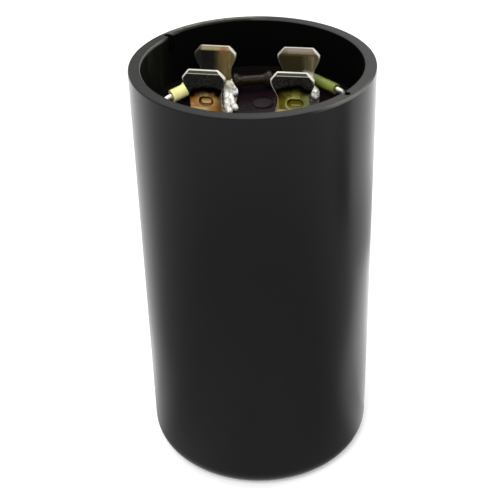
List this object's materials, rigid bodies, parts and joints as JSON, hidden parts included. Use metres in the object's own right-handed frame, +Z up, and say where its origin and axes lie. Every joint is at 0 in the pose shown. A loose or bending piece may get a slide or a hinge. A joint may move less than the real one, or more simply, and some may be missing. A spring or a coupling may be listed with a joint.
{
  "type": "motor start capacitor",
  "caption": "Cylindrical motor start capacitor: open-topped black phenolic case with fork quick-connect terminals and a sleeved bleed resistor inside the rim.",
  "frame": {"origin": "centre of the flat base that the case stands on", "axes": "+Z up along the case axis towards the terminals; the terminals stand side by side along X; the bleed resistor is at +Y"},
  "size_m": [0.0364, 0.0364, 0.0686],
  "materials": {
    "case_phenolic": "moulded black phenolic, semi-gloss, rim face sanded",
    "disc_phenolic": "moulded dark brown phenolic, glossy",
    "seal_rubber": "matte",
    "sealant": "satin compound",
    "tinned_brass": "tinned, bright with amber staining",
    "rivet_brass": "tinned",
    "vent_rubber": "matte",
    "resistor_coat": "brown lacquer",
    "lead_wire": "tinned copper",
    "sleeving": "pale yellow sleeving",
    "solder": "bright solder",
    "tab_aluminium": "plain",
    "washer_aluminium": "plain",
    "wound_foil": "foil and paper roll, end-on",
    "kraft_paper": "kraft paper",
    "pressboard": "pressboard",
    "pitch": "black pitch"
  },
  "bodies": {
    "root": {"case": "case_phenolic", "terminal_disc": "disc_phenolic", "disc_gasket": "seal_rubber", "seal_bead": "sealant", "fork_terminal_left": "tinned_brass", "fork_terminal_right": "tinned_brass", "terminal_rivet_left": "rivet_brass", "terminal_rivet_right": "rivet_brass", "rivet_washer_left": "washer_aluminium", "rivet_washer_right": "washer_aluminium", "vent_plug": "vent_rubber", "resistor_body": "resistor_coat", "resistor_lead_left": "lead_wire", "resistor_lead_right": "lead_wire", "lead_sleeve_left": "sleeving", "lead_sleeve_right": "sleeving", "solder_joint_left": "solder", "solder_joint_right": "solder", "winding": "wound_foil", "winding_wrap": "kraft_paper", "top_insulator": "pressboard", "anode_tab": "tab_aluminium", "cathode_tab": "tab_aluminium", "bottom_pad": "pressboard", "potting": "pitch"}
  },
  "joints": []
}
